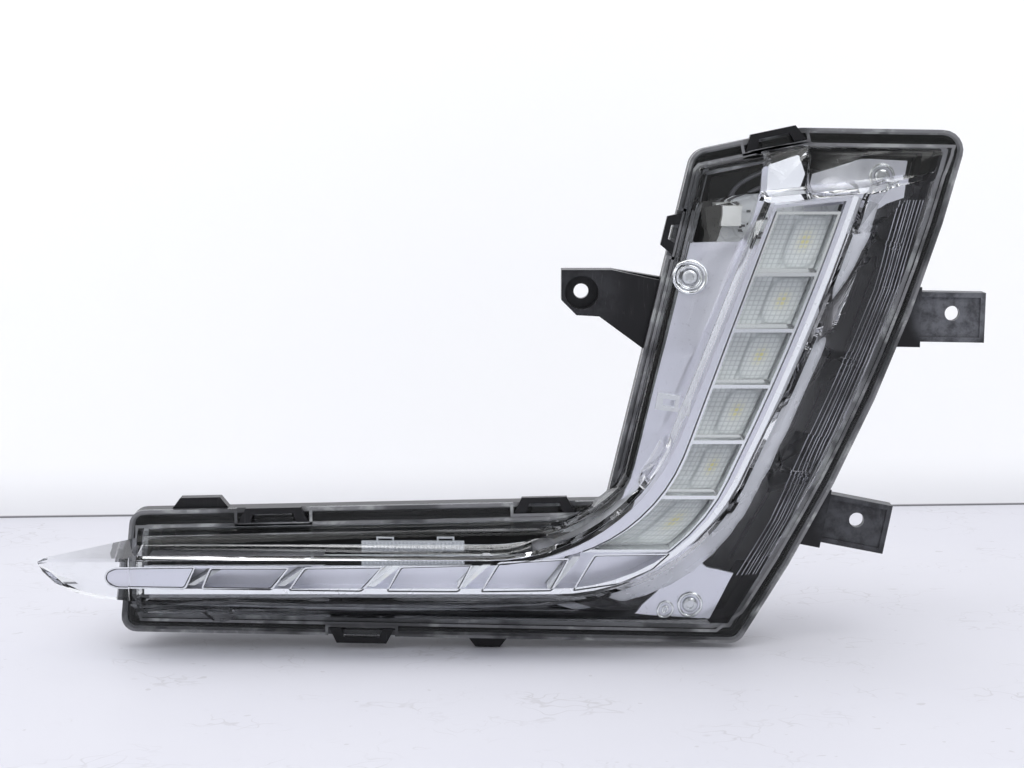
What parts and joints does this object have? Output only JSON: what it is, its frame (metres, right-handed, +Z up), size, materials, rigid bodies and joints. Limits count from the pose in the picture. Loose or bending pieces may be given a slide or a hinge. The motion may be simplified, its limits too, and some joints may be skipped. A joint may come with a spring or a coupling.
{
  "type": "daytime running light",
  "caption": "Bumper daytime running light: a long arm and a leaning column under one clear lens, with reflector cells, light blades and fixing ears.",
  "frame": {"origin": "seat of the left mounting boss, where its screw hole begins", "axes": "+X right along the arm, +Y to the lamp's back, +Z up; the lens faces -Y"},
  "size_m": [0.3732, 0.09, 0.2093],
  "materials": {
    "black_plastic": "moulded black plastic, lightly worn and dusty",
    "clear_lens": "clear moulded plastic, smoky at the rim",
    "black_sealant": "soft black sealing compound",
    "satin_trim": "satin metallised plastic",
    "chrome_reflector": "bright metallised plastic",
    "cell_optic": "clear plastic with square cushions",
    "clear_blade": "clear moulded plastic",
    "white_board": "white solder mask",
    "led_phosphor": "yellow phosphor in a white package",
    "heat_sink_metal": "die-cast, dull",
    "white_nylon": "moulded nylon",
    "wire_sleeve": "insulated wire",
    "terminal_metal": "tinned brass",
    "vent_rubber": "matt rubber cap",
    "screw_steel": "zinc-plated"
  },
  "bodies": {
    "root": {"housing": "black_plastic", "outer_lens": "clear_lens", "seal_bead": "black_sealant", "bezel": "satin_trim", "reflector": "chrome_reflector", "cell_lens_1": "cell_optic", "cell_lens_2": "cell_optic", "cell_lens_3": "cell_optic", "cell_lens_4": "cell_optic", "cell_lens_5": "cell_optic", "cell_lens_6": "cell_optic", "light_blades": "clear_blade", "ribbed_insert": "clear_blade", "bezel_clip": "clear_blade", "led_board": "white_board", "led_1": "led_phosphor", "led_2": "led_phosphor", "led_3": "led_phosphor", "led_4": "led_phosphor", "led_5": "led_phosphor", "led_6": "led_phosphor", "arm_board": "white_board", "arm_led_1": "led_phosphor", "arm_led_2": "led_phosphor", "arm_led_3": "led_phosphor", "arm_led_4": "led_phosphor", "arm_led_5": "led_phosphor", "heat_sink": "heat_sink_metal", "board_connector": "white_nylon", "wire_upper": "wire_sleeve", "wire_lower": "wire_sleeve", "rear_socket": "black_plastic", "terminals": "terminal_metal", "vent_cap": "vent_rubber", "bezel_screws": "screw_steel", "board_screws": "screw_steel"}
  },
  "joints": []
}
